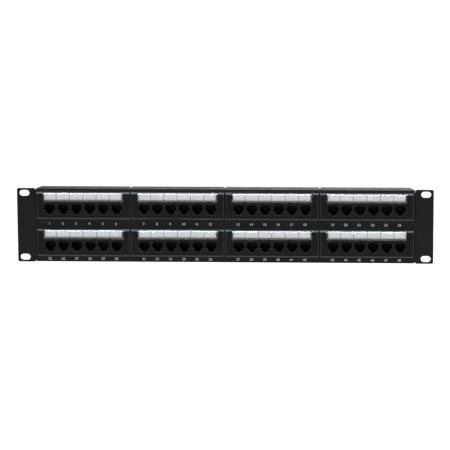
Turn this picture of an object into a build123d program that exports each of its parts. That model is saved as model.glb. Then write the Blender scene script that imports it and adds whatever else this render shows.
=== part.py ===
from build123d import *
import math
import os

# A 48-socket patch panel for a 19 inch rack, two rack units high. All sizes in millimetres.
#
# Frame: +X right (seen from the front), +Y towards the rear, +Z up. The origin is the centre
# of the four rack slots, on the rear face of the ears, which is the face that meets the rack.

# ---------------------------------------------------------------- sheet steel
SHEET = 1.5
TOP_BEND_INSIDE = 1.5        # inside radius where the top flange folds back
BOTTOM_BEND_INSIDE = 0.2     # and the bottom one
FLANGE_DEPTH = 16.6          # front face to the flange's rear edge
FLANGE_END_TAPER = 5.5       # how far each flange end slopes inwards towards the rear
EAR_WIDTH = 21.8
EAR_CORNER_RADIUS = 2.0
EAR_INNER_CHAMFER = 1.8
RELIEF_WIDTH = 0.15          # slit between an ear and the folded body
RELIEF_DEPTH = 0.15          # how far the slit runs past the fold line
SLOT_LENGTH = 11.5
SLOT_HEIGHT = 7.3
SLOT_FROM_BODY = 13.05       # rack slot centre to the body's end
SLOT_FROM_EDGE = 5.65        # rack slot centre to the ear's top or bottom edge
EDGE_NOTCH_WIDTH = 2.4       # small notches in the top flange's rear edge, between modules
EDGE_NOTCH_DEPTH = 4.5

# ---------------------------------------------------------------- layout of the modules
COLUMNS = 4
ROWS = ("upper", "lower")
PORTS = 6                    # sockets in one module
MODULE_GAP = 1.3
SIDE_MARGIN = 1.15           # outer bezel edge to the end of the folded body
EAR_RISE = 0.85              # ear's top edge above the top flange
TOP_MARGIN = 3.25            # top flange to the upper bezels
ROW_GAP = 12.0               # printed band between the two rows of bezels
BOTTOM_MARGIN = 7.2          # printed band under the lower bezels

# ---------------------------------------------------------------- sockets (8P8C, latch down)
MOUTH_WIDTH = 11.9
MOUTH_CORNER_WIDTH = 1.6     # cut across the mouth's two upper corners
MOUTH_CORNER_HEIGHT = 2.4
MOUTH_LEAD_IN = 0.25         # chamfer round the mouth
PLUG_HEIGHT = 7.35
LATCH_STEP_WIDTH = 8.4
LATCH_STEP_HEIGHT = 2.6
LATCH_KEY_WIDTH = 4.8
LATCH_KEY_HEIGHT = 1.8
JACK_WALL = 1.75
JACK_ROOF = 2.65
JACK_FLOOR = 1.5
JACK_SEAM = 0.1
JACK_DEPTH = 17.2
CAVITY_DEPTH = 13.2
JACK_PROUD = 0.4             # jack faces in front of the bezel's face

WIRES = 8
WIRE_PITCH = 1.016
WIRE_WIDTH = 0.45
WIRE_THICKNESS = 0.35
WIRE_CHANNEL_RISE = 1.3      # channel in the roof that carries the spring wires
WIRE_CHANNEL_SIDE = 0.75     # outermost wire's centre to the channel's side
WIRE_FRONT = 3.4             # jack's face to the wires' front bend
WIRE_REACH = 8.0             # length of the sloping spring, along the socket
WIRE_DROP = 3.4              # how far the spring's tip hangs below the roof

# ---------------------------------------------------------------- bezel and its label pocket
BEZEL_CHAMFER = 1.85         # height of the slopes along the face's top and bottom edges
BEZEL_TOP_SETBACK = 1.85     # how far back the top slope runs
BEZEL_FOOT_SETBACK = 1.1     # and the bottom slope
BEZEL_SIDE_CHAMFER = 1.0     # width of the slopes down its left and right edges
BEZEL_SIDE_SETBACK = 0.6     # how far back they run
WINDOW_OVERLAP = 2.6         # bezel's rim over the steel, at the sides
WINDOW_OVERLAP_HIGH = 2.35   # the same, above and below
WINDOW_CLEARANCE = 0.3
COLLAR_WALL = 1.6
COLLAR_TO_JACK = 0.3
JACK_CLEARANCE = 0.15
BOSS_RADIUS = 2.2
BOSS_GAP = 0.2
POCKET_SKIN = 0.75           # plastic left behind the label
POCKET_RIM = 0.6             # thin bar over the label cover
STRIP_HEIGHT = 8.5
STRIP_THICKNESS = 0.2
STRIP_SLACK = 0.6            # play of the paper each way, along the pocket
STRIP_RISE = 1.8             # cover's bottom edge to the paper's bottom edge
STRIP_TOP_GAP = 0.35
LEDGE_HEIGHT = 0.4
LEDGE_DEPTH = 0.5
LEDGE_END_GAP = 0.2          # ledge's ends to the cover's returned edges
STOP_WIDTH = 0.3
STOP_GAP = 0.9               # pocket's end to the stop that ends the paper's play
STRIP_PLACE = {              # where each strip lies in its play: -1 is the left stop, 1 the right
    "upper": (-0.8, -0.8, -0.5, 0.0),
    "lower": (-0.65, -0.65, -0.65, 0.8),
}

COVER_GAP = 0.4              # cover's bottom edge above the jacks
COVER_SIDE_GAP = 0.2
COVER_THICKNESS = 1.0
COVER_LIP = 1.0              # thickness of the returned edges
COVER_NOTCH_HEIGHT = 2.0     # grip notch in each end of the cover
COVER_NOTCH_DEPTH = 0.7
HINGE_SETBACK = 1.3          # hinge axis behind the bezel's face
HINGE_DROP = 1.6             # hinge axis below the bezel's top
HINGE_BARREL_RADIUS = 0.45
HINGE_PIN_RADIUS = 0.4
HINGE_PIN_LENGTH = 0.8
HINGE_FIT = 0.04             # radial clearance of the pin in its socket
COVER_BACK_GAP = 0.1         # barrel and returned edges to the paper's face
HINGE_SOCKET_END = 0.2

BARB_WIDTH = 8.0
BARB_SPACING = 50.0
BARB_HEIGHT = 0.9
BARB_LENGTH = 3.0
BARB_GAP = 0.1

# ---------------------------------------------------------------- circuit board, screws
BOARD_THICKNESS = 1.6
BOARD_SIDE_INSET = 0.25      # board's ends inside the bezel's ends
BOARD_EDGE_INSET = 1.1       # board's edges inside the bezel's top and bottom
SCREW_SHANK_RADIUS = 1.05
SCREW_LENGTH = 8.0
SCREW_HEAD_RADIUS = 2.0
SCREW_HEAD_HEIGHT = 1.4
SCREW_HEAD_ROUND = 0.7
SCREW_RECESS_REACH = 1.2     # centre of the head to an arm's end
SCREW_RECESS_WIDTH = 0.6
SCREW_RECESS_DEPTH = 0.5
PILOT_CLEARANCE = 0.05
PILOT_END = 1.0
BOARD_HOLE_CLEARANCE = 0.15

# ---------------------------------------------------------------- punch-down blocks
BLOCKS_PER_ROW = 3
BLOCK_ROW_OFFSET = 7.2       # each row's centre from the board's centre
BLOCK_HEIGHT = 8.8
BLOCK_BASE = 4.5
BLOCK_DEPTH = 13.0
BLOCK_TIP = 2.0              # height of the pointed tooth tips
BLOCK_SEAM = 0.4
BLOCK_END_WALL = 0.9         # outermost blade to the block's end
BLADE_WIDTH = 2.4
BLADE_THICKNESS = 0.6
BLADE_SINK = 0.6             # blade's end below the root of the tooth tips
BLADE_SLIT = 0.4
BLADE_SLIT_RISE = 0.5        # wire slot's floor to the slit's end
BLADE_MOUTH = 0.9
BLADE_CLEARANCE = 0.1
WIRE_SLOT = 1.3

# ---------------------------------------------------------------- worked-out heights
MOUTH_HEIGHT = PLUG_HEIGHT + LATCH_STEP_HEIGHT + LATCH_KEY_HEIGHT
JACK_HEIGHT = JACK_ROOF + MOUTH_HEIGHT + JACK_FLOOR
JACK_SILL = WINDOW_OVERLAP_HIGH + WINDOW_CLEARANCE + COLLAR_WALL + COLLAR_TO_JACK
LABEL_ZONE = COVER_GAP + STRIP_RISE + STRIP_HEIGHT + STRIP_TOP_GAP + POCKET_RIM
BEZEL_HEIGHT = JACK_SILL + JACK_HEIGHT + LABEL_ZONE
ROW_PITCH = BEZEL_HEIGHT + ROW_GAP
PANEL_HEIGHT = EAR_RISE + TOP_MARGIN + BEZEL_HEIGHT + ROW_PITCH + BOTTOM_MARGIN
EAR_TOP = PANEL_HEIGHT / 2
FLANGE_TOP = EAR_TOP - EAR_RISE
FLANGE_BOTTOM = -EAR_TOP
UPPER_ROW_Z = FLANGE_TOP - TOP_MARGIN - BEZEL_HEIGHT / 2
ROW_Z = {"upper": UPPER_ROW_Z, "lower": UPPER_ROW_Z - ROW_PITCH}
SLOT_Z = EAR_TOP - SLOT_FROM_EDGE

# the same, from a bezel's centre
BEZEL_TOP = BEZEL_HEIGHT / 2
JACK_BOTTOM = JACK_SILL - BEZEL_TOP
JACK_TOP = JACK_BOTTOM + JACK_HEIGHT
MOUTH_TOP = JACK_TOP - JACK_ROOF
COVER_BOTTOM = JACK_TOP + COVER_GAP
STRIP_BOTTOM = COVER_BOTTOM + STRIP_RISE
POCKET_BOTTOM = JACK_TOP + JACK_CLEARANCE
POCKET_TOP = BEZEL_TOP - POCKET_RIM
HINGE_Z = BEZEL_TOP - HINGE_DROP
COLLAR_HALF_HEIGHT = BEZEL_TOP - WINDOW_OVERLAP_HIGH - WINDOW_CLEARANCE

# ---------------------------------------------------------------- worked-out widths
JACK_WIDTH = MOUTH_WIDTH + 2 * JACK_WALL
JACK_PITCH = JACK_WIDTH + JACK_SEAM
JACK_ROW_WIDTH = PORTS * JACK_PITCH - JACK_SEAM
POCKET_WIDTH = JACK_ROW_WIDTH + 2 * JACK_CLEARANCE
STOP_INNER = POCKET_WIDTH / 2 - STOP_GAP - STOP_WIDTH
STRIP_WIDTH = 2 * (STOP_INNER - STRIP_SLACK)
SIDE_FIELD = WINDOW_OVERLAP + WINDOW_CLEARANCE + 2 * BOSS_RADIUS + BOSS_GAP
BEZEL_WIDTH = POCKET_WIDTH + 2 * SIDE_FIELD
MODULE_PITCH = BEZEL_WIDTH + MODULE_GAP
COLUMN_X = [(column - (COLUMNS - 1) / 2) * MODULE_PITCH for column in range(COLUMNS)]
BODY_HALF_WIDTH = COLUMN_X[-1] + BEZEL_WIDTH / 2 + SIDE_MARGIN
PANEL_HALF_WIDTH = BODY_HALF_WIDTH + EAR_WIDTH
SLOT_X = BODY_HALF_WIDTH + SLOT_FROM_BODY
COLLAR_HALF_WIDTH = BEZEL_WIDTH / 2 - WINDOW_OVERLAP - WINDOW_CLEARANCE
BOSS_X = COLLAR_HALF_WIDTH - BOSS_RADIUS
BOSS_Z = COLLAR_HALF_HEIGHT - BOSS_RADIUS
COVER_WIDTH = POCKET_WIDTH - 2 * COVER_SIDE_GAP
BLOCK_PITCH = 2 * (BOSS_X - SCREW_HEAD_RADIUS - BLADE_CLEARANCE) / BLOCKS_PER_ROW
BLOCK_WIDTH = BLOCK_PITCH - BLOCK_SEAM
BLADE_PITCH = (BLOCK_WIDTH - 2 * BLOCK_END_WALL - BLADE_WIDTH) / (WIRES - 1)

# ---------------------------------------------------------------- worked-out depths
STEEL_FRONT = -SHEET
POCKET_DEPTH = HINGE_SETBACK + HINGE_BARREL_RADIUS + COVER_BACK_GAP + STRIP_THICKNESS
BEZEL_FACE = STEEL_FRONT - POCKET_DEPTH - POCKET_SKIN
POCKET_FLOOR = BEZEL_FACE + POCKET_DEPTH
HINGE_Y = BEZEL_FACE + HINGE_SETBACK
JACK_FACE = BEZEL_FACE - JACK_PROUD
BOARD_FRONT = JACK_FACE + JACK_DEPTH
BOARD_REAR = BOARD_FRONT + BOARD_THICKNESS
BLADE_LENGTH = BLOCK_DEPTH - BLOCK_TIP - BLADE_SINK


def prism_along_y(sketch, y_front, y_rear):
    """A sketch drawn in X and Z, made solid from y_front to y_rear."""
    return extrude(Plane.XZ.offset(-y_rear) * sketch, amount=y_rear - y_front)


def prism_along_x(sketch, x_left, x_right):
    """A sketch drawn in Y and Z, made solid from x_left to x_right."""
    return extrude(Plane.YZ.offset(x_left) * sketch, amount=x_right - x_left)


def block(x_range, y_range, z_range):
    """A box between two opposite corners."""
    sides = [high - low for low, high in (x_range, y_range, z_range)]
    middle = [(high + low) / 2 for low, high in (x_range, y_range, z_range)]
    return Pos(*middle) * Box(*sides)


def rod_along_x(x_left, x_right, y, z, radius):
    """A round bar lying along X."""
    return prism_along_x(Pos(y, z) * Circle(radius), x_left, x_right)


def rod_along_y(x, z, y_front, y_rear, radius):
    """A round bar lying along Y."""
    return prism_along_y(Pos(x, z) * Circle(radius), y_front, y_rear)


def outline(points):
    """A flat face with straight sides through the points."""
    return make_face(Polyline(*points, close=True))


# ---------------------------------------------------------------- front panel

def ear(side):
    """One ear, rounded at its outer corners and chamfered beside the body. side is 1 or -1."""
    inner = side * (BODY_HALF_WIDTH + RELIEF_WIDTH)
    outer = side * PANEL_HALF_WIDTH
    shape = Pos((inner + outer) / 2, 0) * Rectangle(abs(outer - inner), PANEL_HEIGHT)
    near = shape.vertices().sort_by(lambda corner: abs(corner.X))[:2]
    shape = chamfer(near, EAR_INNER_CHAMFER)
    far = shape.vertices().sort_by(lambda corner: abs(corner.X))[-2:]
    return fillet(far, EAR_CORNER_RADIUS)


def panel_blank():
    """The flat face of the sheet: body, two ears, and the slits beside the folds."""
    fold_top = FLANGE_TOP - TOP_BEND_INSIDE - SHEET
    fold_bottom = FLANGE_BOTTOM + BOTTOM_BEND_INSIDE + SHEET
    middle = (fold_top + fold_bottom) / 2
    body = Pos(0, middle) * Rectangle(2 * BODY_HALF_WIDTH, fold_top - fold_bottom)
    across = Pos(0, middle) * Rectangle(2 * PANEL_HALF_WIDTH, fold_top - fold_bottom - 2 * RELIEF_DEPTH)
    return body + across + ear(-1) + ear(1)


def rack_slots():
    """Outlines of the four long holes for the rack screws."""
    slot = SlotOverall(SLOT_LENGTH, SLOT_HEIGHT)
    return [Pos(x, z) * slot for x in (-SLOT_X, SLOT_X) for z in (-SLOT_Z, SLOT_Z)]


def module_windows():
    """Outlines of the windows that the bezels snap into."""
    half_width = COLLAR_HALF_WIDTH + WINDOW_CLEARANCE
    half_height = COLLAR_HALF_HEIGHT + WINDOW_CLEARANCE
    window = Rectangle(2 * half_width, 2 * half_height)
    return [Pos(x, ROW_Z[row]) * window for row in ROWS for x in COLUMN_X]


def flange(edge_z, inward, inside_radius):
    """A folded flange. inward is -1 for the top flange and 1 for the bottom one."""
    outside_radius = inside_radius + SHEET
    bend_y = STEEL_FRONT + outside_radius
    rear_y = STEEL_FRONT + FLANGE_DEPTH
    fold_z = edge_z + inward * outside_radius
    inner_z = edge_z + inward * SHEET
    diagonal = math.sqrt(0.5)
    outer_mid = (bend_y - outside_radius * diagonal, fold_z - inward * outside_radius * diagonal)
    inner_mid = (bend_y - inside_radius * diagonal, fold_z - inward * inside_radius * diagonal)
    profile = make_face([
        ThreePointArc((STEEL_FRONT, fold_z), outer_mid, (bend_y, edge_z)),
        Line((bend_y, edge_z), (rear_y, edge_z)),
        Line((rear_y, edge_z), (rear_y, inner_z)),
        Line((rear_y, inner_z), (bend_y, inner_z)),
        ThreePointArc((bend_y, inner_z), inner_mid, (0, fold_z)),
        Line((0, fold_z), (STEEL_FRONT, fold_z)),
    ])
    folded = prism_along_x(profile, -BODY_HALF_WIDTH, BODY_HALF_WIDTH)
    corner = outline([
        (BODY_HALF_WIDTH, bend_y),
        (BODY_HALF_WIDTH - FLANGE_END_TAPER, rear_y),
        (BODY_HALF_WIDTH, rear_y),
    ])
    low = min(edge_z, inner_z)
    wedge = extrude(Plane.XY.offset(low) * corner, amount=SHEET)
    return folded - wedge - mirror(wedge, Plane.YZ)


def flange_notch(x):
    """A small round-ended notch in the top flange's rear edge."""
    rear_y = STEEL_FRONT + FLANGE_DEPTH
    end_y = rear_y - EDGE_NOTCH_DEPTH + EDGE_NOTCH_WIDTH / 2
    shape = Pos(x, end_y) * Circle(EDGE_NOTCH_WIDTH / 2)
    shape += Pos(x, (end_y + rear_y) / 2) * Rectangle(EDGE_NOTCH_WIDTH, rear_y - end_y)
    return extrude(Plane.XY.offset(FLANGE_TOP - SHEET) * shape, amount=SHEET)


def front_panel():
    blank = panel_blank()
    for hole in rack_slots() + module_windows():
        blank -= hole
    steel = prism_along_y(blank, STEEL_FRONT, 0)
    steel += flange(FLANGE_TOP, -1, TOP_BEND_INSIDE)
    steel += flange(FLANGE_BOTTOM, 1, BOTTOM_BEND_INSIDE)
    for left, right in zip(COLUMN_X, COLUMN_X[1:]):
        steel -= flange_notch((left + right) / 2)
    return steel


# ---------------------------------------------------------------- bezel

def bevelled_plate():
    """The front plate's outer shape, which slopes back along all four edges of its face."""
    half = BEZEL_WIDTH / 2
    from_side = outline([
        (STEEL_FRONT, -BEZEL_TOP),
        (BEZEL_FACE + BEZEL_FOOT_SETBACK, -BEZEL_TOP),
        (BEZEL_FACE, BEZEL_CHAMFER - BEZEL_TOP),
        (BEZEL_FACE, BEZEL_TOP - BEZEL_CHAMFER),
        (BEZEL_FACE + BEZEL_TOP_SETBACK, BEZEL_TOP),
        (STEEL_FRONT, BEZEL_TOP),
    ])
    from_above = outline([
        (-half, STEEL_FRONT),
        (-half, BEZEL_FACE + BEZEL_SIDE_SETBACK),
        (BEZEL_SIDE_CHAMFER - half, BEZEL_FACE),
        (half - BEZEL_SIDE_CHAMFER, BEZEL_FACE),
        (half, BEZEL_FACE + BEZEL_SIDE_SETBACK),
        (half, STEEL_FRONT),
    ])
    upright = extrude(Plane.XY.offset(-BEZEL_TOP) * from_above, amount=BEZEL_HEIGHT)
    return prism_along_x(from_side, -half, half) & upright


def bezel_plate():
    """The bevelled front plate, with the window for the jacks and the label pocket."""
    plate = bevelled_plate()
    pocket_half = POCKET_WIDTH / 2
    plate -= block((-pocket_half, pocket_half), (BEZEL_FACE, STEEL_FRONT),
                   (JACK_BOTTOM - JACK_CLEARANCE, POCKET_BOTTOM))
    plate -= block((-pocket_half, pocket_half), (BEZEL_FACE, POCKET_FLOOR), (POCKET_BOTTOM, POCKET_TOP))
    return plate


def pocket_fittings():
    """The ledge that carries the paper and the two stops that end its travel."""
    ledge_half = COVER_WIDTH / 2 - COVER_LIP - LEDGE_END_GAP
    ledge = block((-ledge_half, ledge_half), (POCKET_FLOOR - LEDGE_DEPTH, POCKET_FLOOR),
                  (STRIP_BOTTOM - LEDGE_HEIGHT, STRIP_BOTTOM))
    stop = block((STOP_INNER, STOP_INNER + STOP_WIDTH), (POCKET_FLOOR - STRIP_THICKNESS, POCKET_FLOOR),
                 (STRIP_BOTTOM - LEDGE_HEIGHT, STRIP_BOTTOM + STRIP_HEIGHT))
    return ledge + stop + mirror(stop, Plane.YZ)


def hinge_sockets():
    """Blind holes in the pocket's ends for the cover's hinge pins."""
    inner = POCKET_WIDTH / 2
    end = COVER_WIDTH / 2 + HINGE_PIN_LENGTH + HINGE_SOCKET_END
    radius = HINGE_PIN_RADIUS + HINGE_FIT
    return (rod_along_x(inner, end, HINGE_Y, HINGE_Z, radius)
            + rod_along_x(-end, -inner, HINGE_Y, HINGE_Z, radius))


def bezel_collar():
    """The frame behind the plate that passes through the steel and carries the board."""
    outer = Rectangle(2 * COLLAR_HALF_WIDTH, 2 * COLLAR_HALF_HEIGHT)
    inner = Rectangle(2 * (COLLAR_HALF_WIDTH - COLLAR_WALL), 2 * (COLLAR_HALF_HEIGHT - COLLAR_WALL))
    collar = prism_along_y(outer - inner, STEEL_FRONT, BOARD_FRONT)
    for x in (-BOSS_X, BOSS_X):
        for z in (-BOSS_Z, BOSS_Z):
            collar += rod_along_y(x, z, STEEL_FRONT, BOARD_FRONT, BOSS_RADIUS)
    return collar


def pilot_holes():
    """Blind holes in the bosses for the board's screws."""
    depth = SCREW_LENGTH - BOARD_THICKNESS + PILOT_END
    radius = SCREW_SHANK_RADIUS + PILOT_CLEARANCE
    return [rod_along_y(x, z, BOARD_FRONT - depth, BOARD_FRONT, radius)
            for x in (-BOSS_X, BOSS_X) for z in (-BOSS_Z, BOSS_Z)]


def snap_barb(x, side):
    """A sloped catch on the collar that hooks behind the steel. side is 1 above, -1 below."""
    root = side * (COLLAR_HALF_HEIGHT - COLLAR_WALL / 2)
    base = side * COLLAR_HALF_HEIGHT
    tip = side * (COLLAR_HALF_HEIGHT + BARB_HEIGHT)
    profile = outline([
        (BARB_GAP, root),
        (BARB_GAP, tip),
        (BARB_GAP + BARB_LENGTH, base),
        (BARB_GAP + BARB_LENGTH, root),
    ])
    return prism_along_x(profile, x - BARB_WIDTH / 2, x + BARB_WIDTH / 2)


def bezel():
    body = bezel_plate() + bezel_collar() + pocket_fittings()
    for x in (-BARB_SPACING / 2, BARB_SPACING / 2):
        for side in (-1, 1):
            body += snap_barb(x, side)
    body -= hinge_sockets()
    for hole in pilot_holes():
        body -= hole
    return body


# ---------------------------------------------------------------- label strip and its cover

def label_strip(place_in_play):
    half = STRIP_WIDTH / 2
    shift = place_in_play * STRIP_SLACK
    return block((shift - half, shift + half), (POCKET_FLOOR - STRIP_THICKNESS, POCKET_FLOOR),
                 (STRIP_BOTTOM, STRIP_BOTTOM + STRIP_HEIGHT))


def cover_front():
    """The cover's outer line in Y and Z: up its face, then the slope that touches the barrel."""
    reach = HINGE_BARREL_RADIUS * math.sqrt(0.5)
    slope_start = HINGE_Z + 2 * reach - HINGE_SETBACK
    return [
        (BEZEL_FACE, COVER_BOTTOM),
        (BEZEL_FACE, slope_start),
        (HINGE_Y - reach, HINGE_Z + reach),
        (HINGE_Y, HINGE_Z),
    ]


def cover_plate():
    """The clear plate, with the hinge barrel along its top."""
    inner_y = BEZEL_FACE + COVER_THICKNESS
    barrel_bottom = HINGE_Z - HINGE_BARREL_RADIUS
    profile = outline(cover_front() + [
        (HINGE_Y, barrel_bottom),
        (inner_y, barrel_bottom - (HINGE_Y - inner_y)),
        (inner_y, COVER_BOTTOM),
    ])
    half = COVER_WIDTH / 2
    barrel = rod_along_x(-half, half, HINGE_Y, HINGE_Z, HINGE_BARREL_RADIUS)
    return prism_along_x(profile, -half, half) + barrel


def cover_lips():
    """Returned edges along the bottom and the two ends of the cover."""
    half = COVER_WIDTH / 2
    back = HINGE_Y + HINGE_BARREL_RADIUS
    lips = block((-half, half), (BEZEL_FACE, back), (COVER_BOTTOM, COVER_BOTTOM + COVER_LIP))
    profile = outline(cover_front() + [(back, HINGE_Z), (back, COVER_BOTTOM)])
    lips += prism_along_x(profile, -half, COVER_LIP - half)
    lips += prism_along_x(profile, half - COVER_LIP, half)
    return lips


def end_notch(side):
    """A V-shaped grip notch half way up one end of the cover."""
    tip = side * (COVER_WIDTH / 2 - COVER_NOTCH_DEPTH)
    edge = side * COVER_WIDTH / 2
    middle = (COVER_BOTTOM + HINGE_Z) / 2
    vee = outline([
        (tip, middle),
        (edge, middle + COVER_NOTCH_HEIGHT / 2),
        (edge, middle - COVER_NOTCH_HEIGHT / 2),
    ])
    return prism_along_y(vee, BEZEL_FACE, HINGE_Y + HINGE_BARREL_RADIUS)


def label_cover():
    cover = cover_plate() + cover_lips()
    half = COVER_WIDTH / 2
    for side in (-1, 1):
        cover -= end_notch(side)
        pin_ends = sorted((side * (half - COVER_LIP), side * (half + HINGE_PIN_LENGTH)))
        cover += rod_along_x(*pin_ends, HINGE_Y, HINGE_Z, HINGE_PIN_RADIUS)
    return cover


# ---------------------------------------------------------------- jacks

def mouth():
    """Outline of a socket's mouth: plug space, then the stepped room for the latch."""
    half = MOUTH_WIDTH / 2
    floor = MOUTH_TOP - PLUG_HEIGHT
    step = floor - LATCH_STEP_HEIGHT
    key = step - LATCH_KEY_HEIGHT
    right = [
        (half - MOUTH_CORNER_WIDTH, MOUTH_TOP),
        (half, MOUTH_TOP - MOUTH_CORNER_HEIGHT),
        (half, floor),
        (LATCH_STEP_WIDTH / 2, floor),
        (LATCH_STEP_WIDTH / 2, step),
        (LATCH_KEY_WIDTH / 2, step),
        (LATCH_KEY_WIDTH / 2, key),
    ]
    left = [(-x, z) for x, z in reversed(right)]
    return outline(right + left)


def jack():
    """One socket housing, centred on X = 0."""
    half = JACK_WIDTH / 2
    housing = block((-half, half), (JACK_FACE, BOARD_FRONT), (JACK_BOTTOM, JACK_TOP))
    housing -= prism_along_y(mouth(), JACK_FACE, JACK_FACE + CAVITY_DEPTH)
    face = housing.faces().sort_by(Axis.Y)[0]
    housing = chamfer(face.inner_wires()[0].edges(), MOUTH_LEAD_IN)
    channel_half = (WIRES - 1) * WIRE_PITCH / 2 + WIRE_CHANNEL_SIDE
    channel_front = JACK_FACE + WIRE_FRONT - WIRE_THICKNESS
    housing -= block((-channel_half, channel_half), (channel_front, BOARD_FRONT),
                     (MOUTH_TOP, MOUTH_TOP + WIRE_CHANNEL_RISE))
    return housing


def jack_row():
    housing = jack()
    return [Pos(port_x(port), 0, 0) * housing for port in range(PORTS)]


def port_x(port):
    """Centre of a socket from its module's centre."""
    return (port - (PORTS - 1) / 2) * JACK_PITCH


def ribbon(points, thickness):
    """Outline of a bent strip of even thickness along the points."""
    normals = []
    for (y0, z0), (y1, z1) in zip(points, points[1:]):
        length = math.hypot(y1 - y0, z1 - z0)
        normals.append(((z0 - z1) / length, (y1 - y0) / length))
    sides = []
    for index, (y, z) in enumerate(points):
        before = normals[max(index - 1, 0)]
        after = normals[min(index, len(normals) - 1)]
        share = 1 + before[0] * after[0] + before[1] * after[1]
        offset = [thickness / 2 * (before[axis] + after[axis]) / share for axis in (0, 1)]
        sides.append(((y + offset[0], z + offset[1]), (y - offset[0], z - offset[1])))
    return outline([first for first, second in sides] + [second for first, second in reversed(sides)])


def spring_wire():
    """A contact wire: from the board along the roof, round the front bend, back into the socket."""
    run_z = MOUTH_TOP + WIRE_CHANNEL_RISE / 2
    front_y = JACK_FACE + WIRE_FRONT
    path = [
        (BOARD_FRONT, run_z),
        (front_y + WIRE_THICKNESS, run_z),
        (front_y, run_z - WIRE_THICKNESS),
        (front_y + WIRE_THICKNESS, MOUTH_TOP - WIRE_THICKNESS),
        (front_y + WIRE_REACH, MOUTH_TOP - WIRE_DROP),
    ]
    strip = ribbon(path, WIRE_THICKNESS)
    return prism_along_x(strip, -WIRE_WIDTH / 2, WIRE_WIDTH / 2)


def jack_wires():
    wire = spring_wire()
    across = [(number - (WIRES - 1) / 2) * WIRE_PITCH for number in range(WIRES)]
    return [Pos(port_x(port) + x, 0, 0) * wire for port in range(PORTS) for x in across]


# ---------------------------------------------------------------- circuit board and screws

def circuit_board():
    half = BEZEL_WIDTH / 2 - BOARD_SIDE_INSET
    half_height = BEZEL_TOP - BOARD_EDGE_INSET
    board = block((-half, half), (BOARD_FRONT, BOARD_REAR), (-half_height, half_height))
    for x in (-BOSS_X, BOSS_X):
        for z in (-BOSS_Z, BOSS_Z):
            board -= rod_along_y(x, z, BOARD_FRONT, BOARD_REAR, SCREW_SHANK_RADIUS + BOARD_HOLE_CLEARANCE)
    return board


def screw(x, z):
    """A pan-head screw with a cross recess, driven from the rear into a boss."""
    head_rear = BOARD_REAR + SCREW_HEAD_HEIGHT
    shank = rod_along_y(x, z, BOARD_REAR - SCREW_LENGTH, BOARD_REAR, SCREW_SHANK_RADIUS)
    head = rod_along_y(x, z, BOARD_REAR, head_rear, SCREW_HEAD_RADIUS)
    head = fillet(head.edges().sort_by(Axis.Y)[-1], SCREW_HEAD_ROUND)
    arm = SCREW_RECESS_REACH
    width = SCREW_RECESS_WIDTH / 2
    depth = (head_rear - SCREW_RECESS_DEPTH, head_rear)
    recess = block((x - arm, x + arm), depth, (z - width, z + width))
    recess += block((x - width, x + width), depth, (z - arm, z + arm))
    return shank + head - recess


def module_screws():
    return [screw(x, z) for x in (-BOSS_X, BOSS_X) for z in (-BOSS_Z, BOSS_Z)]


# ---------------------------------------------------------------- punch-down blocks

def blade_places():
    """Centres of a block's contacts from the block's centre."""
    return [(number - (WIRES - 1) / 2) * BLADE_PITCH for number in range(WIRES)]


def block_centres():
    """Centres of a module's blocks as (x, z) from the module's centre."""
    return [((number - (BLOCKS_PER_ROW - 1) / 2) * BLOCK_PITCH, z)
            for z in (BLOCK_ROW_OFFSET, -BLOCK_ROW_OFFSET) for number in range(BLOCKS_PER_ROW)]


def comb():
    """Side view of a block in X and Y: a base with pointed teeth and wire slots between them."""
    slot_floor = BOARD_REAR + BLOCK_BASE
    shoulder = BOARD_REAR + BLOCK_DEPTH - BLOCK_TIP
    tip = BOARD_REAR + BLOCK_DEPTH
    edges = [-BLOCK_WIDTH / 2]
    for x in blade_places():
        edges += [x - WIRE_SLOT / 2, x + WIRE_SLOT / 2]
    edges.append(BLOCK_WIDTH / 2)
    points = [(-BLOCK_WIDTH / 2, BOARD_REAR)]
    for left, right in zip(edges[::2], edges[1::2]):
        if left > edges[0]:
            points.append((left, slot_floor))
        points += [(left, shoulder), ((left + right) / 2, tip), (right, shoulder)]
        if right < edges[-1]:
            points.append((right, slot_floor))
    points.append((BLOCK_WIDTH / 2, BOARD_REAR))
    return outline(points)


def idc_block():
    """One 8-wire punch-down block, centred on X = 0 and Z = 0."""
    body = extrude(Plane.XY.offset(-BLOCK_HEIGHT / 2) * comb(), amount=BLOCK_HEIGHT)
    half = BLADE_WIDTH / 2 + BLADE_CLEARANCE
    thick = BLADE_THICKNESS / 2 + BLADE_CLEARANCE
    pocket_rear = BOARD_REAR + BLOCK_DEPTH - BLOCK_TIP
    for x in blade_places():
        body -= block((x - half, x + half), (BOARD_REAR, pocket_rear), (-thick, thick))
    return body


def idc_blocks():
    body = idc_block()
    return [Pos(x, 0, z) * body for x, z in block_centres()]


def idc_blade():
    """A forked contact: the wire is pressed into its slit."""
    half = BLADE_WIDTH / 2
    slit = BLADE_SLIT / 2
    top = BOARD_REAR + BLADE_LENGTH
    right = [
        (half, BOARD_REAR),
        (half, top),
        (BLADE_MOUTH, top),
        (slit, top - BLADE_MOUTH),
        (slit, BOARD_REAR + BLOCK_BASE + BLADE_SLIT_RISE),
    ]
    left = [(-x, y) for x, y in reversed(right)]
    fork = outline(right + left)
    return extrude(Plane.XY.offset(-BLADE_THICKNESS / 2) * fork, amount=BLADE_THICKNESS)


def idc_blades():
    blade = idc_blade()
    return [Pos(x + place, 0, z) * blade for x, z in block_centres() for place in blade_places()]


# ---------------------------------------------------------------- assembly

def save(name, solids):
    """Write one node: a single solid, or a group of separate solids."""
    shape = solids[0] if len(solids) == 1 else Compound(children=solids)
    export_step(shape, os.path.join("parts", name + ".step"))


def place(solids, x, z):
    """Copies of a module's solids at the module's centre."""
    return [Pos(x, 0, z) * solid for solid in solids]


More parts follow.
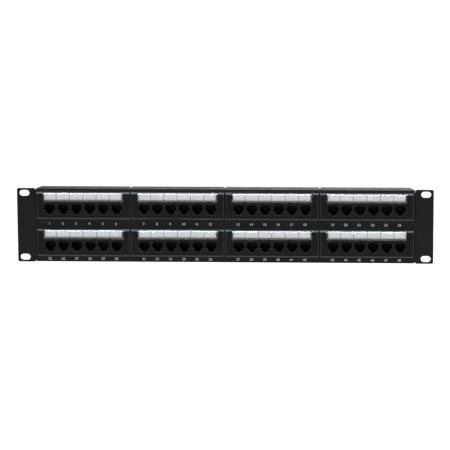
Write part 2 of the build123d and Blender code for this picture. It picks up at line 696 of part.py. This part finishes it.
def main():
    os.makedirs("parts", exist_ok=True)
    save("front_panel", [front_panel()])
    shared = {
        "bezel": [bezel()],
        "label_cover": [label_cover()],
        "jacks": jack_row(),
        "jack_contacts": jack_wires(),
        "circuit_board": [circuit_board()],
        "idc_blocks": idc_blocks(),
    }
    blades = idc_blades()
    screws = []
    for row in ROWS:
        z = ROW_Z[row]
        for column, x in enumerate(COLUMN_X):
            number = column + 1
            for kind, solids in shared.items():
                save(f"{kind}_{row}_{number}", place(solids, x, z))
            save(f"label_strip_{row}_{number}", place([label_strip(STRIP_PLACE[row][column])], x, z))
            screws += place(module_screws(), x, z)
        row_blades = [Pos(x, 0, z) * blade for x in COLUMN_X for blade in blades]
        save(f"idc_contacts_{row}", row_blades)
    save("board_screws", screws)


main()
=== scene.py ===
import math
import random

import bmesh
import bpy
from mathutils import Euler, Matrix, Vector


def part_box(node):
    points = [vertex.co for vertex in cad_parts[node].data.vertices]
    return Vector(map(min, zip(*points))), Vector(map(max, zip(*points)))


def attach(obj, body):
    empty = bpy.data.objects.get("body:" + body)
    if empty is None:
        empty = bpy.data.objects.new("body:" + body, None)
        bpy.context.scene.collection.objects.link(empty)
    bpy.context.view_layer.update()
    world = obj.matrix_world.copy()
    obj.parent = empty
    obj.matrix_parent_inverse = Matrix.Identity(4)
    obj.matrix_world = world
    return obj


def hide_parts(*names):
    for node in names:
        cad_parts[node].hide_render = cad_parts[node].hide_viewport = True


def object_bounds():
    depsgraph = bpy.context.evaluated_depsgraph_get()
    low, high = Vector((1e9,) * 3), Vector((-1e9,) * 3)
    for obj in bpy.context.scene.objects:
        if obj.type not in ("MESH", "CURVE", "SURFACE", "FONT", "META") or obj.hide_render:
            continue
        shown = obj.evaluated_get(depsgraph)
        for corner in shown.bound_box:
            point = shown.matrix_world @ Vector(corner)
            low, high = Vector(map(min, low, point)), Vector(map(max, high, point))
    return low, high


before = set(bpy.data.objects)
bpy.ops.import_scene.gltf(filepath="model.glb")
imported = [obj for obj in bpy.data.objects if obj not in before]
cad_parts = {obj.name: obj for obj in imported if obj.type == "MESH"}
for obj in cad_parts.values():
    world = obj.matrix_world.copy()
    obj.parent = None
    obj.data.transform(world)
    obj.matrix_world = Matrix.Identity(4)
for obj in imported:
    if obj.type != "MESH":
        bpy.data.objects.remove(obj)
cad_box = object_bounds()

# The dressed patch panel. Blender's lengths are in metres; MM turns millimetres into them.
# +X is to the right seen from the front, +Y is towards the rear, +Z is up.
MM = 0.001
ROWS = ("upper", "lower")
COLUMNS = (1, 2, 3, 4)
MODULES = [f"{row}_{column}" for row in ROWS for column in COLUMNS]
PORTS = 6
PANEL = "panel"

STEEL_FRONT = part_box("front_panel")[0].y
JACK_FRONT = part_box("jacks_upper_1")[0].y
BOARD_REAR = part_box("circuit_board_upper_1")[1].y


# ---------------------------------------------------------------- materials

class Shader:
    """A Principled material with helpers that feed its sockets from procedural patterns.

    Where a tint is linked later, color is only what programs without nodes show.
    """

    def __init__(self, name, color, roughness, metallic=0.0, ior=1.5):
        self.material = bpy.data.materials.new(name)
        self.material.use_nodes = True
        self.nodes = self.material.node_tree.nodes
        self.links = self.material.node_tree.links
        self.bsdf = self.nodes["Principled BSDF"]
        self.output = self.nodes["Material Output"]
        self.set("Base Color", (*color, 1.0))
        self.set("Roughness", roughness)
        self.set("Metallic", metallic)
        self.set("IOR", ior)
        self.coordinates = self.nodes.new("ShaderNodeTexCoord")

    def set(self, socket, value):
        self.bsdf.inputs[socket].default_value = value

    def link(self, source, target):
        self.links.new(source, target)

    def noise(self, size, detail=2.0, stretch=(1.0, 1.0, 1.0)):
        """Noise whose lumps are about size metres across, stretched along the given axes."""
        mapping = self.nodes.new("ShaderNodeMapping")
        mapping.inputs["Scale"].default_value = [1.0 / factor for factor in stretch]
        noise = self.nodes.new("ShaderNodeTexNoise")
        noise.inputs["Scale"].default_value = 1.0 / size
        noise.inputs["Detail"].default_value = detail
        self.link(self.coordinates.outputs["Object"], mapping.inputs["Vector"])
        self.link(mapping.outputs["Vector"], noise.inputs["Vector"])
        return noise.outputs["Fac"]

    def ramp(self, value, low, high, start=0.35, end=0.65):
        """value spread from low to high as it goes from start to end."""
        spread = self.nodes.new("ShaderNodeMapRange")
        spread.inputs["From Min"].default_value = start
        spread.inputs["From Max"].default_value = end
        spread.inputs["To Min"].default_value = low
        spread.inputs["To Max"].default_value = high
        self.link(value, spread.inputs["Value"])
        return spread.outputs["Result"]

    def along_depth(self, front, back, start, end):
        """A value that goes from front to back as y goes from start to end."""
        split = self.nodes.new("ShaderNodeSeparateXYZ")
        self.link(self.coordinates.outputs["Object"], split.inputs["Vector"])
        return self.ramp(split.outputs["Y"], front, back, start, end)

    def tint(self, factor, first, second):
        """A colour between first and second."""
        mix = self.nodes.new("ShaderNodeMix")
        mix.data_type = "RGBA"
        mix.inputs["A"].default_value = (*first, 1.0)
        mix.inputs["B"].default_value = (*second, 1.0)
        self.link(factor, mix.inputs["Factor"])
        self.link(mix.outputs["Result"], self.bsdf.inputs["Base Color"])

    def roughen(self, pattern, smoothest, roughest):
        """Roughness that follows a pattern between two values."""
        self.link(self.ramp(pattern, smoothest, roughest), self.bsdf.inputs["Roughness"])

    def bump(self, height, distance, strength=1.0):
        """A surface relief; repeated calls add finer relief on top."""
        bump = self.nodes.new("ShaderNodeBump")
        bump.inputs["Strength"].default_value = strength
        bump.inputs["Distance"].default_value = distance
        self.link(height, bump.inputs["Height"])
        normal = self.bsdf.inputs["Normal"]
        if normal.is_linked:
            self.link(normal.links[0].from_socket, bump.inputs["Normal"])
        self.link(bump.outputs["Normal"], normal)


MOUTH_SHADE_SHINE = 0.3               # shine left inside a socket's mouth, turned down as painted shade
MOUTH_SHADE_FROM = 0.5 * MM           # where that painted shade starts, behind the sockets' faces
MOUTH_SHADE_TO = 2.5 * MM             # and where it is full
FLOW_MARKS = 1.35              # how much lighter moulded plastic is along its flow marks
MOULDED_SPREAD = (0.04, 0.05)  # how far moulded plastic's roughness goes below and above
THIN_INK = 0.78                # brightness of ink where it is thin
DULL_PLATING = 0.72            # brightness of plating where it is dull
PLATED_SPREAD = (0.08, 0.10)   # how far plating's roughness goes below and above


def powder_coat():
    """Black satin powder coat: fine orange peel, slightly uneven gloss, a little dust."""
    shader = Shader("powder_coat", (0.011, 0.011, 0.0115), 0.55)
    shader.set("Specular IOR Level", 0.085)
    cloud = shader.noise(45 * MM, detail=4.0)
    shader.tint(shader.ramp(cloud, 0.0, 1.0), (0.0095, 0.0095, 0.0100), (0.0125, 0.0125, 0.0130))
    shader.roughen(shader.noise(9 * MM, detail=5.0), 0.50, 0.60)
    shader.bump(shader.noise(0.9 * MM, detail=3.0), 0.02 * MM, 0.5)
    shader.bump(shader.noise(0.25 * MM, detail=1.0), 0.006 * MM, 0.4)
    return shader.material


def moulded_black(name, color, roughness, shine, grain=0.35, face=None):
    """Black moulded plastic with a spark-eroded grain and faint flow marks.

    shine is the specular level and grain the size of the grain in millimetres. Behind the plane y
    = face its shine is turned down, as painted shade that keeps the insides of the sockets'
    mouths dark.
    """
    shader = Shader(name, color, roughness, ior=1.49)
    shader.set("Specular IOR Level", shine)
    if face is not None:
        # painted shade: the shine fades towards the back of the sockets' mouths
        painted_mouth_shade = shader.along_depth(shine, MOUTH_SHADE_SHINE * shine, face + MOUTH_SHADE_FROM, face + MOUTH_SHADE_TO)
        shader.link(painted_mouth_shade, shader.bsdf.inputs["Specular IOR Level"])
    lighter = tuple(FLOW_MARKS * channel for channel in color)
    flow = shader.noise(18 * MM, detail=3.0, stretch=(3.0, 1.0, 1.0))
    shader.tint(shader.ramp(flow, 0.0, 1.0), color, lighter)
    below, above = MOULDED_SPREAD
    shader.roughen(shader.noise(6 * MM, detail=4.0), roughness - below, roughness + above)
    shader.bump(shader.noise(grain * MM, detail=2.0), 0.012 * MM, 0.45)
    return shader.material


def clear_plastic():
    """Clear acrylic that lets the lamps through to the paper behind it."""
    shader = Shader("clear_plastic", (0.965, 0.975, 0.98), 0.035, ior=1.49)
    shader.set("Transmission Weight", 1.0)
    shader.bump(shader.noise(14 * MM, detail=1.0), 0.03 * MM, 0.25)
    path = shader.nodes.new("ShaderNodeLightPath")
    through = shader.nodes.new("ShaderNodeBsdfTransparent")
    mix = shader.nodes.new("ShaderNodeMixShader")
    shader.link(path.outputs["Is Shadow Ray"], mix.inputs["Fac"])
    shader.link(shader.bsdf.outputs["BSDF"], mix.inputs[1])
    shader.link(through.outputs["BSDF"], mix.inputs[2])
    shader.link(mix.outputs["Shader"], shader.output.inputs["Surface"])
    return shader.material


def label_paper():
    """White card with a soft fibre texture."""
    shader = Shader("label_paper", (0.76, 0.76, 0.76), 0.82)
    shader.set("Specular IOR Level", 0.25)
    cloud = shader.noise(7 * MM, detail=5.0)
    shader.tint(shader.ramp(cloud, 0.0, 1.0), (0.72, 0.72, 0.72), (0.79, 0.79, 0.785))
    fibres = shader.noise(0.35 * MM, detail=3.0, stretch=(3.0, 1.0, 1.0))
    shader.bump(fibres, 0.01 * MM, 0.5)
    return shader.material


def printing_ink(name, color):
    """Screen-printed ink: nearly matt, a little thin in places."""
    shader = Shader(name, color, 0.6)
    thin = tuple(THIN_INK * channel for channel in color)
    shader.tint(shader.ramp(shader.noise(0.8 * MM, detail=3.0), 0.0, 1.0), thin, color)
    return shader.material


def plated_metal(name, color, roughness):
    """Thin metal plating, a little dull in places."""
    shader = Shader(name, color, roughness, metallic=1.0)
    marks = shader.noise(0.5 * MM, detail=4.0)
    duller = tuple(DULL_PLATING * channel for channel in color)
    shader.tint(shader.ramp(shader.noise(2.5 * MM, detail=4.0), 0.0, 1.0), duller, color)
    below, above = PLATED_SPREAD
    shader.roughen(marks, roughness - below, roughness + above)
    shader.bump(marks, 0.01 * MM, 0.4)
    return shader.material


def solder_mask():
    """Green solder mask over a copper ground plane and a woven glass core."""
    shader = Shader("solder_mask", (0.012, 0.085, 0.035), 0.3)
    shader.set("Coat Weight", 0.25)
    shader.set("Coat Roughness", 0.15)
    weave = shader.nodes.new("ShaderNodeTexWave")
    weave.inputs["Scale"].default_value = 1.0 / (4 * MM)
    weave.inputs["Distortion"].default_value = 1.5
    shader.link(shader.coordinates.outputs["Object"], weave.inputs["Vector"])
    copper = shader.noise(5 * MM, detail=5.0)
    shader.tint(shader.ramp(copper, 0.0, 1.0), (0.010, 0.070, 0.030), (0.016, 0.11, 0.045))
    shader.bump(weave.outputs["Fac"], 0.01 * MM, 0.3)
    return shader.material


FINISH = {
    "steel": powder_coat(),
    "bezel": moulded_black("bezel_plastic", (0.0026, 0.0028, 0.0032), 0.14, 0.125),
    "jack": moulded_black("jack_plastic", (0.0010, 0.0011, 0.0012), 0.30, 0.165,
                          grain=0.5, face=JACK_FRONT),
    "block": moulded_black("block_plastic", (0.008, 0.008, 0.0085), 0.38, 0.25),
    "clear": clear_plastic(),
    "paper": label_paper(),
    "white_ink": printing_ink("white_ink", (0.58, 0.59, 0.60)),
    "grey_ink": printing_ink("grey_ink", (0.10, 0.085, 0.10)),
    # the gold is darkened to about half its real brightness as painted shade for the contacts
    # deep in the sockets
    "gold": plated_metal("gold_plating", (0.50, 0.35, 0.14), 0.30),
    "tin": plated_metal("tin_plating", (0.66, 0.66, 0.65), 0.30),
    "zinc": plated_metal("zinc_plating", (0.62, 0.64, 0.66), 0.32),
    "solder": plated_metal("solder_joints", (0.63, 0.64, 0.65), 0.26),
    "board": solder_mask(),
}


# ---------------------------------------------------------------- CAD nodes that keep their shape

WELD_DISTANCE = 0.001 * MM     # joins the corners that neighbouring faces share
EDGE_STEPS = 2
SHARP_ANGLE = math.radians(30)


def dress(node, finish, edge=0.0):
    """Gives a CAD node its finish, and rounds its sharp edges by edge millimetres."""
    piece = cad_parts[node]
    piece.material_slots[0].material = FINISH[finish]
    if edge:
        weld = piece.modifiers.new("weld", "WELD")
        weld.merge_threshold = WELD_DISTANCE
        soft = piece.modifiers.new("soft_edges", "BEVEL")
        soft.width = edge * MM
        soft.segments = EDGE_STEPS
        soft.limit_method = "ANGLE"
        soft.angle_limit = SHARP_ANGLE
        soft.harden_normals = True


dress("front_panel", "steel", edge=0.2)
dress("board_screws", "zinc")
for row in ROWS:
    dress(f"idc_contacts_{row}", "tin")
for module in MODULES:
    dress(f"bezel_{module}", "bezel", edge=0.15)
    dress(f"label_cover_{module}", "clear", edge=0.08)
    dress(f"jacks_{module}", "jack", edge=0.12)
    dress(f"jack_contacts_{module}", "gold")
    dress(f"circuit_board_{module}", "board", edge=0.08)
    dress(f"idc_blocks_{module}", "block", edge=0.12)


# ---------------------------------------------------------------- mesh helpers

def add_piece(name, mesh, finish, body, smooth=False):
    """Puts a finished mesh in the scene as a piece that rides on a body."""
    mesh.materials.clear()
    mesh.materials.append(FINISH[finish])
    if smooth:
        mesh.polygons.foreach_set("use_smooth", [True] * len(mesh.polygons))
    piece = bpy.data.objects.new(name, mesh)
    bpy.context.scene.collection.objects.link(piece)
    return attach(piece, body)


def mesh_from(name, build):
    """A mesh made by build(bm), which fills an empty bmesh."""
    bm = bmesh.new()
    build(bm)
    mesh = bpy.data.meshes.new(name)
    bm.to_mesh(mesh)
    bm.free()
    return mesh


# ---------------------------------------------------------------- printed port numbers

DIGIT_HEIGHT = 3.0 * MM
FONT_CAP_SHARE = 0.729         # height of a digit over the font's size
INK_THICKNESS = 0.02 * MM
STROKE_GROWTH = 0.06 * MM      # makes each side of a stroke this much bolder
CURVE_STEPS = 4
NUMBER_FLOAT = 0.2 * MM        # numbers sit this much above the middle of their printed band
NUMBER_SHIFT = -1.0 * MM       # and this much to the left of their sockets' centres


def number_mesh(number):
    """One port number as a flat mesh, centred on the origin, facing the front."""
    curve = bpy.data.curves.new(f"number_{number}", "FONT")
    curve.body = str(number)
    curve.size = DIGIT_HEIGHT / FONT_CAP_SHARE
    curve.align_x = "CENTER"
    curve.align_y = "CENTER"
    curve.extrude = INK_THICKNESS / 2
    curve.offset = STROKE_GROWTH
    curve.resolution_u = CURVE_STEPS
    holder = bpy.data.objects.new(curve.name, curve)
    mesh = bpy.data.meshes.new_from_object(holder)
    bpy.data.objects.remove(holder)
    bpy.data.curves.remove(curve)
    mesh.transform(Euler((math.pi / 2, 0, 0)).to_matrix().to_4x4())
    return mesh


def jack_centre_x(module, port):
    """Centre of a socket, from the box of its module's row of six."""
    low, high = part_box(f"jacks_{module}")
    return low.x + (high.x - low.x) * (port + 0.5) / PORTS


def number_height(row):
    """Height of a row's numbers: between the two rows of bezels, or under the lower one."""
    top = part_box(f"bezel_{row}_1")[0].z
    if row == "upper":
        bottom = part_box("bezel_lower_1")[1].z
    else:
        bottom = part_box("front_panel")[0].z
    return (top + bottom) / 2 + NUMBER_FLOAT


def printed_numbers(bm, row):
    """The numbers under one row of sockets, as one piece of ink on the steel."""
    first = 1 + ROWS.index(row) * len(COLUMNS) * PORTS
    z = number_height(row)
    for column in COLUMNS:
        module = f"{row}_{column}"
        for port in range(PORTS):
            mesh = number_mesh(first + (column - 1) * PORTS + port)
            x = jack_centre_x(module, port) + NUMBER_SHIFT
            place = Vector((x, STEEL_FRONT - INK_THICKNESS / 2, z))
            mesh.transform(Matrix.Translation(place))
            bm.from_mesh(mesh)
            bpy.data.meshes.remove(mesh)


for row in ROWS:
    name = f"port_numbers_{row}"
    numbers = mesh_from(name, lambda bm: printed_numbers(bm, row))
    add_piece(name, numbers, "white_ink", PANEL)


# ---------------------------------------------------------------- paper label strips

PAPER_BOW = 0.08 * MM          # the most that a strip bows forward from its pocket's floor
BOW_SHARE = (0.4, 1.0)         # least and most share of that bow in one strip
RIPPLES = (1.5, 3.0)           # fewest and most waves along one strip
PAPER_STEPS = (60, 6)          # faces along and up a strip
LINE_WIDTH = 0.6 * MM
LINE_LIFT = 0.012 * MM         # printed lines in front of the paper


class Paper:
    """The bowed front surface of one strip, from its CAD node's box."""

    def __init__(self, module, seed):
        self.low, self.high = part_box(f"label_strip_{module}")
        chance = random.Random(seed)
        self.bow = PAPER_BOW * chance.uniform(*BOW_SHARE)
        self.waves = chance.uniform(*RIPPLES)
        self.phase = chance.uniform(0.0, 2 * math.pi)

    def front(self, u, v):
        """Point on the front at share u of the width and v of the height."""
        x = self.low.x + u * (self.high.x - self.low.x)
        z = self.low.z + v * (self.high.z - self.low.z)
        ripple = 0.5 + 0.5 * math.sin(self.waves * 2 * math.pi * u + self.phase)
        lift = self.bow * math.sin(math.pi * v) * ripple * math.sin(math.pi * u) ** 0.5
        return Vector((x, self.low.y - lift, z))

    def back(self, u, v):
        return self.front(u, v) + Vector((0, self.high.y - self.low.y, 0))


def paper_sheet(bm, paper):
    """A closed thin sheet: front and back grids joined round the edge."""
    across, up = PAPER_STEPS
    grids = []
    for surface in (paper.front, paper.back):
        grids.append([[bm.verts.new(surface(i / across, j / up)) for j in range(up + 1)]
                      for i in range(across + 1)])
    for index, grid in enumerate(grids):
        for i in range(across):
            for j in range(up):
                corners = [grid[i][j], grid[i + 1][j], grid[i + 1][j + 1], grid[i][j + 1]]
                bm.faces.new(corners if index == 0 else corners[::-1])
    rim = [(i, 0) for i in range(across)] + [(across, j) for j in range(up)]
    rim += [(i, up) for i in range(across, 0, -1)] + [(0, j) for j in range(up, 0, -1)]
    for (i, j), (k, m) in zip(rim, rim[1:] + rim[:1]):
        bm.faces.new([grids[0][k][m], grids[0][i][j], grids[1][i][j], grids[1][k][m]])


def division_lines(bm, paper, pitch):
    """Thin printed lines between the six cells of a strip, as far apart as the sockets."""
    width = paper.high.x - paper.low.x
    half = LINE_WIDTH / width / 2
    up = PAPER_STEPS[1]
    lift = Vector((0, -LINE_LIFT, 0))
    for cell in range(1, PORTS):
        u = 0.5 + (cell - PORTS / 2) * pitch / width
        left = [bm.verts.new(paper.front(u - half, j / up) + lift) for j in range(up + 1)]
        right = [bm.verts.new(paper.front(u + half, j / up) + lift) for j in range(up + 1)]
        for j in range(up):
            bm.faces.new([left[j], right[j], right[j + 1], left[j + 1]])


for seed, module in enumerate(MODULES):
    paper = Paper(module, seed)
    node = f"label_strip_{module}"
    sheet = mesh_from(f"paper_{module}", lambda bm: paper_sheet(bm, paper))
    sheet = add_piece(f"paper_{module}", sheet, "paper", node, smooth=True)
    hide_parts(node)
    pitch = jack_centre_x(module, 1) - jack_centre_x(module, 0)
    lines = mesh_from(f"divisions_{module}", lambda bm: division_lines(bm, paper, pitch))
    add_piece(f"divisions_{module}", lines, "grey_ink", node)


# ---------------------------------------------------------------- solder joints behind the jacks

# a joint's radius and height in millimetres, from its foot to its tip
SOLDER_PROFILE = ((0.72, 0.0), (0.50, 0.22), (0.34, 0.55), (0.27, 0.85), (0.16, 0.98))
SOLDER_SIDES = 10
SOLDER_ROWS = (1.9 * MM, -0.1 * MM)      # above the board's middle, for alternate wires
WIRES = 8
WIRE_PITCH = 1.016 * MM


def solder_joint(bm, x, z):
    """A small cone of solder round the cut end of a pin, on the board's rear."""
    rings = []
    for radius, height in SOLDER_PROFILE:
        ring = []
        for side in range(SOLDER_SIDES):
            angle = 2 * math.pi * side / SOLDER_SIDES
            ring.append(bm.verts.new((x + radius * MM * math.cos(angle), BOARD_REAR + height * MM,
                                      z + radius * MM * math.sin(angle))))
        rings.append(ring)
    for lower, upper in zip(rings, rings[1:]):
        for side in range(SOLDER_SIDES):
            following = (side + 1) % SOLDER_SIDES
            bm.faces.new([lower[side], upper[side], upper[following], lower[following]])
    bm.faces.new(rings[-1][::-1])


def module_solder(bm, module):
    """The joints of all wires of one module's sockets."""
    low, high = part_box(f"circuit_board_{module}")
    middle = (low.z + high.z) / 2
    for port in range(PORTS):
        for wire in range(WIRES):
            x = jack_centre_x(module, port) + (wire - (WIRES - 1) / 2) * WIRE_PITCH
            solder_joint(bm, x, middle + SOLDER_ROWS[wire % 2])


for module in MODULES:
    joints = mesh_from(f"solder_{module}", lambda bm: module_solder(bm, module))
    add_piece(f"solder_{module}", joints, "solder", PANEL, smooth=True)


# ---------------------------------------------------------------- camera

CAMERA_AZIMUTH = math.radians(2.78)
CAMERA_ELEVATION = math.radians(12.87)
CAMERA_ROLL = math.radians(-0.312)
CAMERA_DISTANCE = 3.707
CAMERA_LENS = 255.9
SENSOR_WIDTH = 36.0
CLIP_END = 50.0
PICTURE_CENTRE = Vector((0.12 * MM, 0, 1.16 * MM))   # from the middle of the steel's front face


def add_camera():
    """A long lens, a little above and to the right of the panel's middle."""
    back = Vector((math.sin(CAMERA_AZIMUTH) * math.cos(CAMERA_ELEVATION),
                   -math.cos(CAMERA_AZIMUTH) * math.cos(CAMERA_ELEVATION),
                   math.sin(CAMERA_ELEVATION)))
    middle = Vector((0, STEEL_FRONT, 0))
    data = bpy.data.cameras.new("camera")
    data.lens = CAMERA_LENS
    data.sensor_width = SENSOR_WIDTH
    data.clip_end = CLIP_END
    camera = bpy.data.objects.new("camera", data)
    camera.location = middle + CAMERA_DISTANCE * back
    view = (middle + PICTURE_CENTRE - camera.location).to_track_quat("-Z", "Y").to_matrix()
    camera.rotation_euler = (view @ Matrix.Rotation(CAMERA_ROLL, 3, "Z")).to_euler()
    bpy.context.scene.collection.objects.link(camera)
    bpy.context.scene.camera = camera


add_camera()


# ---------------------------------------------------------------- floor, world and lamps

FLOOR_DROP = 0.62              # below the panel, which hangs in a rack in use
FLOOR_SIZE = 40.0
FLOOR_GREY = 0.8
FLOOR_ROUGHNESS = 0.9
FLOOR_GLOW = 0.75              # brightness that the floor adds where it is seen
WORLD_FILL = 0.33              # the room's light on the object; its background stays white


def seen_directly(nodes, links):
    """1 for what the camera sees, also in reflections and through clear plastic, else 0.

    Light that a matt surface gathers counts as light on the object, also where it comes
    through the clear covers, so the paper behind them is lit like everything else.
    """
    path = nodes.new("ShaderNodeLightPath")
    total = path.outputs["Is Camera Ray"]
    for ray in ("Is Glossy Ray", "Is Transmission Ray"):
        either = nodes.new("ShaderNodeMath")
        either.operation = "MAXIMUM"
        links.new(total, either.inputs[0])
        links.new(path.outputs[ray], either.inputs[1])
        total = either.outputs["Value"]
    unscattered = nodes.new("ShaderNodeMath")
    unscattered.operation = "LESS_THAN"
    links.new(path.outputs["Diffuse Depth"], unscattered.inputs[0])
    unscattered.inputs[1].default_value = 0.5       # true only before the first matt bounce
    seen = nodes.new("ShaderNodeMath")
    seen.operation = "MULTIPLY"
    links.new(total, seen.inputs[0])
    links.new(unscattered.outputs["Value"], seen.inputs[1])
    return seen.outputs["Value"]


def floor_material():
    """Pale floor that keeps the panel's shadow and adds brightness only where it is seen.

    From below it is clear, so that the panel can be looked at from there.
    """
    material = bpy.data.materials.new("pale_floor")
    material.use_nodes = True
    nodes, links = material.node_tree.nodes, material.node_tree.links
    bsdf = nodes["Principled BSDF"]
    bsdf.inputs["Base Color"].default_value = (FLOOR_GREY, FLOOR_GREY, FLOOR_GREY, 1.0)
    bsdf.inputs["Roughness"].default_value = FLOOR_ROUGHNESS
    glow = nodes.new("ShaderNodeEmission")
    glow.inputs["Color"].default_value = (1.0, 1.0, 1.0, 1.0)
    shown = nodes.new("ShaderNodeMath")
    shown.operation = "MULTIPLY"
    shown.inputs[1].default_value = FLOOR_GLOW
    links.new(seen_directly(nodes, links), shown.inputs[0])
    links.new(shown.outputs["Value"], glow.inputs["Strength"])
    add = nodes.new("ShaderNodeAddShader")
    links.new(bsdf.outputs["BSDF"], add.inputs[0])
    links.new(glow.outputs["Emission"], add.inputs[1])
    side = nodes.new("ShaderNodeNewGeometry")
    clear = nodes.new("ShaderNodeBsdfTransparent")
    mix = nodes.new("ShaderNodeMixShader")
    links.new(side.outputs["Backfacing"], mix.inputs["Fac"])
    links.new(add.outputs["Shader"], mix.inputs[1])
    links.new(clear.outputs["BSDF"], mix.inputs[2])
    links.new(mix.outputs["Shader"], nodes["Material Output"].inputs["Surface"])
    return material


def add_floor():
    """A wide floor under the panel."""
    half = FLOOR_SIZE / 2
    z = cad_box[0].z - FLOOR_DROP
    mesh = bpy.data.meshes.new("floor")
    corners = [(-half, -half, z), (half, -half, z), (half, half, z), (-half, half, z)]
    mesh.from_pydata(corners, [], [(0, 1, 2, 3)])
    mesh.materials.append(floor_material())
    floor = bpy.data.objects.new("floor", mesh)
    bpy.context.scene.collection.objects.link(floor)


def add_world():
    """White background for the camera, reflections and clear plastic; a softer fill elsewhere."""
    world = bpy.data.worlds.new("studio")
    world.use_nodes = True
    nodes, links = world.node_tree.nodes, world.node_tree.links
    background = nodes["Background"]
    background.inputs["Color"].default_value = (1.0, 1.0, 1.0, 1.0)
    strength = nodes.new("ShaderNodeMapRange")
    strength.inputs["To Min"].default_value = WORLD_FILL
    strength.inputs["To Max"].default_value = 1.0
    links.new(seen_directly(nodes, links), strength.inputs["Value"])
    links.new(strength.outputs["Result"], background.inputs["Strength"])
    bpy.context.scene.world = world


def add_lamp(name, location, size, power, color=(1.0, 1.0, 1.0)):
    """A soft box aimed at the panel's middle. Its size is in metres and its power in watts."""
    data = bpy.data.lights.new(name, "AREA")
    data.shape = "RECTANGLE"
    data.size, data.size_y = size
    data.energy = power
    data.color = color
    lamp = bpy.data.objects.new(name, data)
    lamp.location = location
    lamp.rotation_euler = (-Vector(location)).to_track_quat("-Z", "Y").to_euler()
    lamp.visible_camera = False
    lamp.visible_transmission = False       # no glare inside the clear covers
    bpy.context.scene.collection.objects.link(lamp)


add_floor()
add_world()
# mirrored, a little blue, in the slopes along the bezels' tops
add_lamp("overhead", (-0.08, -0.36, 1.7), (0.80, 0.28), 12.5, (0.84, 0.93, 1.0))
# light on the front, from the left and from the right
add_lamp("key", (-1.5, -2.0, 1.4), (1.0, 1.0), 10.0)
add_lamp("fill", (1.7, -1.9, 0.7), (1.0, 1.0), 9.0)
# brightens the top flange at a grazing angle, and lights the back
add_lamp("rear", (0.4, 2.2, 1.2), (1.4, 1.0), 27.0)
# mirrored in the slopes down the bezels' sides, and along their feet
add_lamp("left_side", (-1.4, -0.75, -0.35), (0.5, 0.6), 2.0)
add_lamp("right_side", (1.4, -0.75, -0.35), (0.5, 0.6), 2.0)
add_lamp("bounce", (0.0, -0.16, -0.58), (0.8, 0.2), 1.3)

scene = bpy.context.scene
scene.view_settings.view_transform = "Standard"
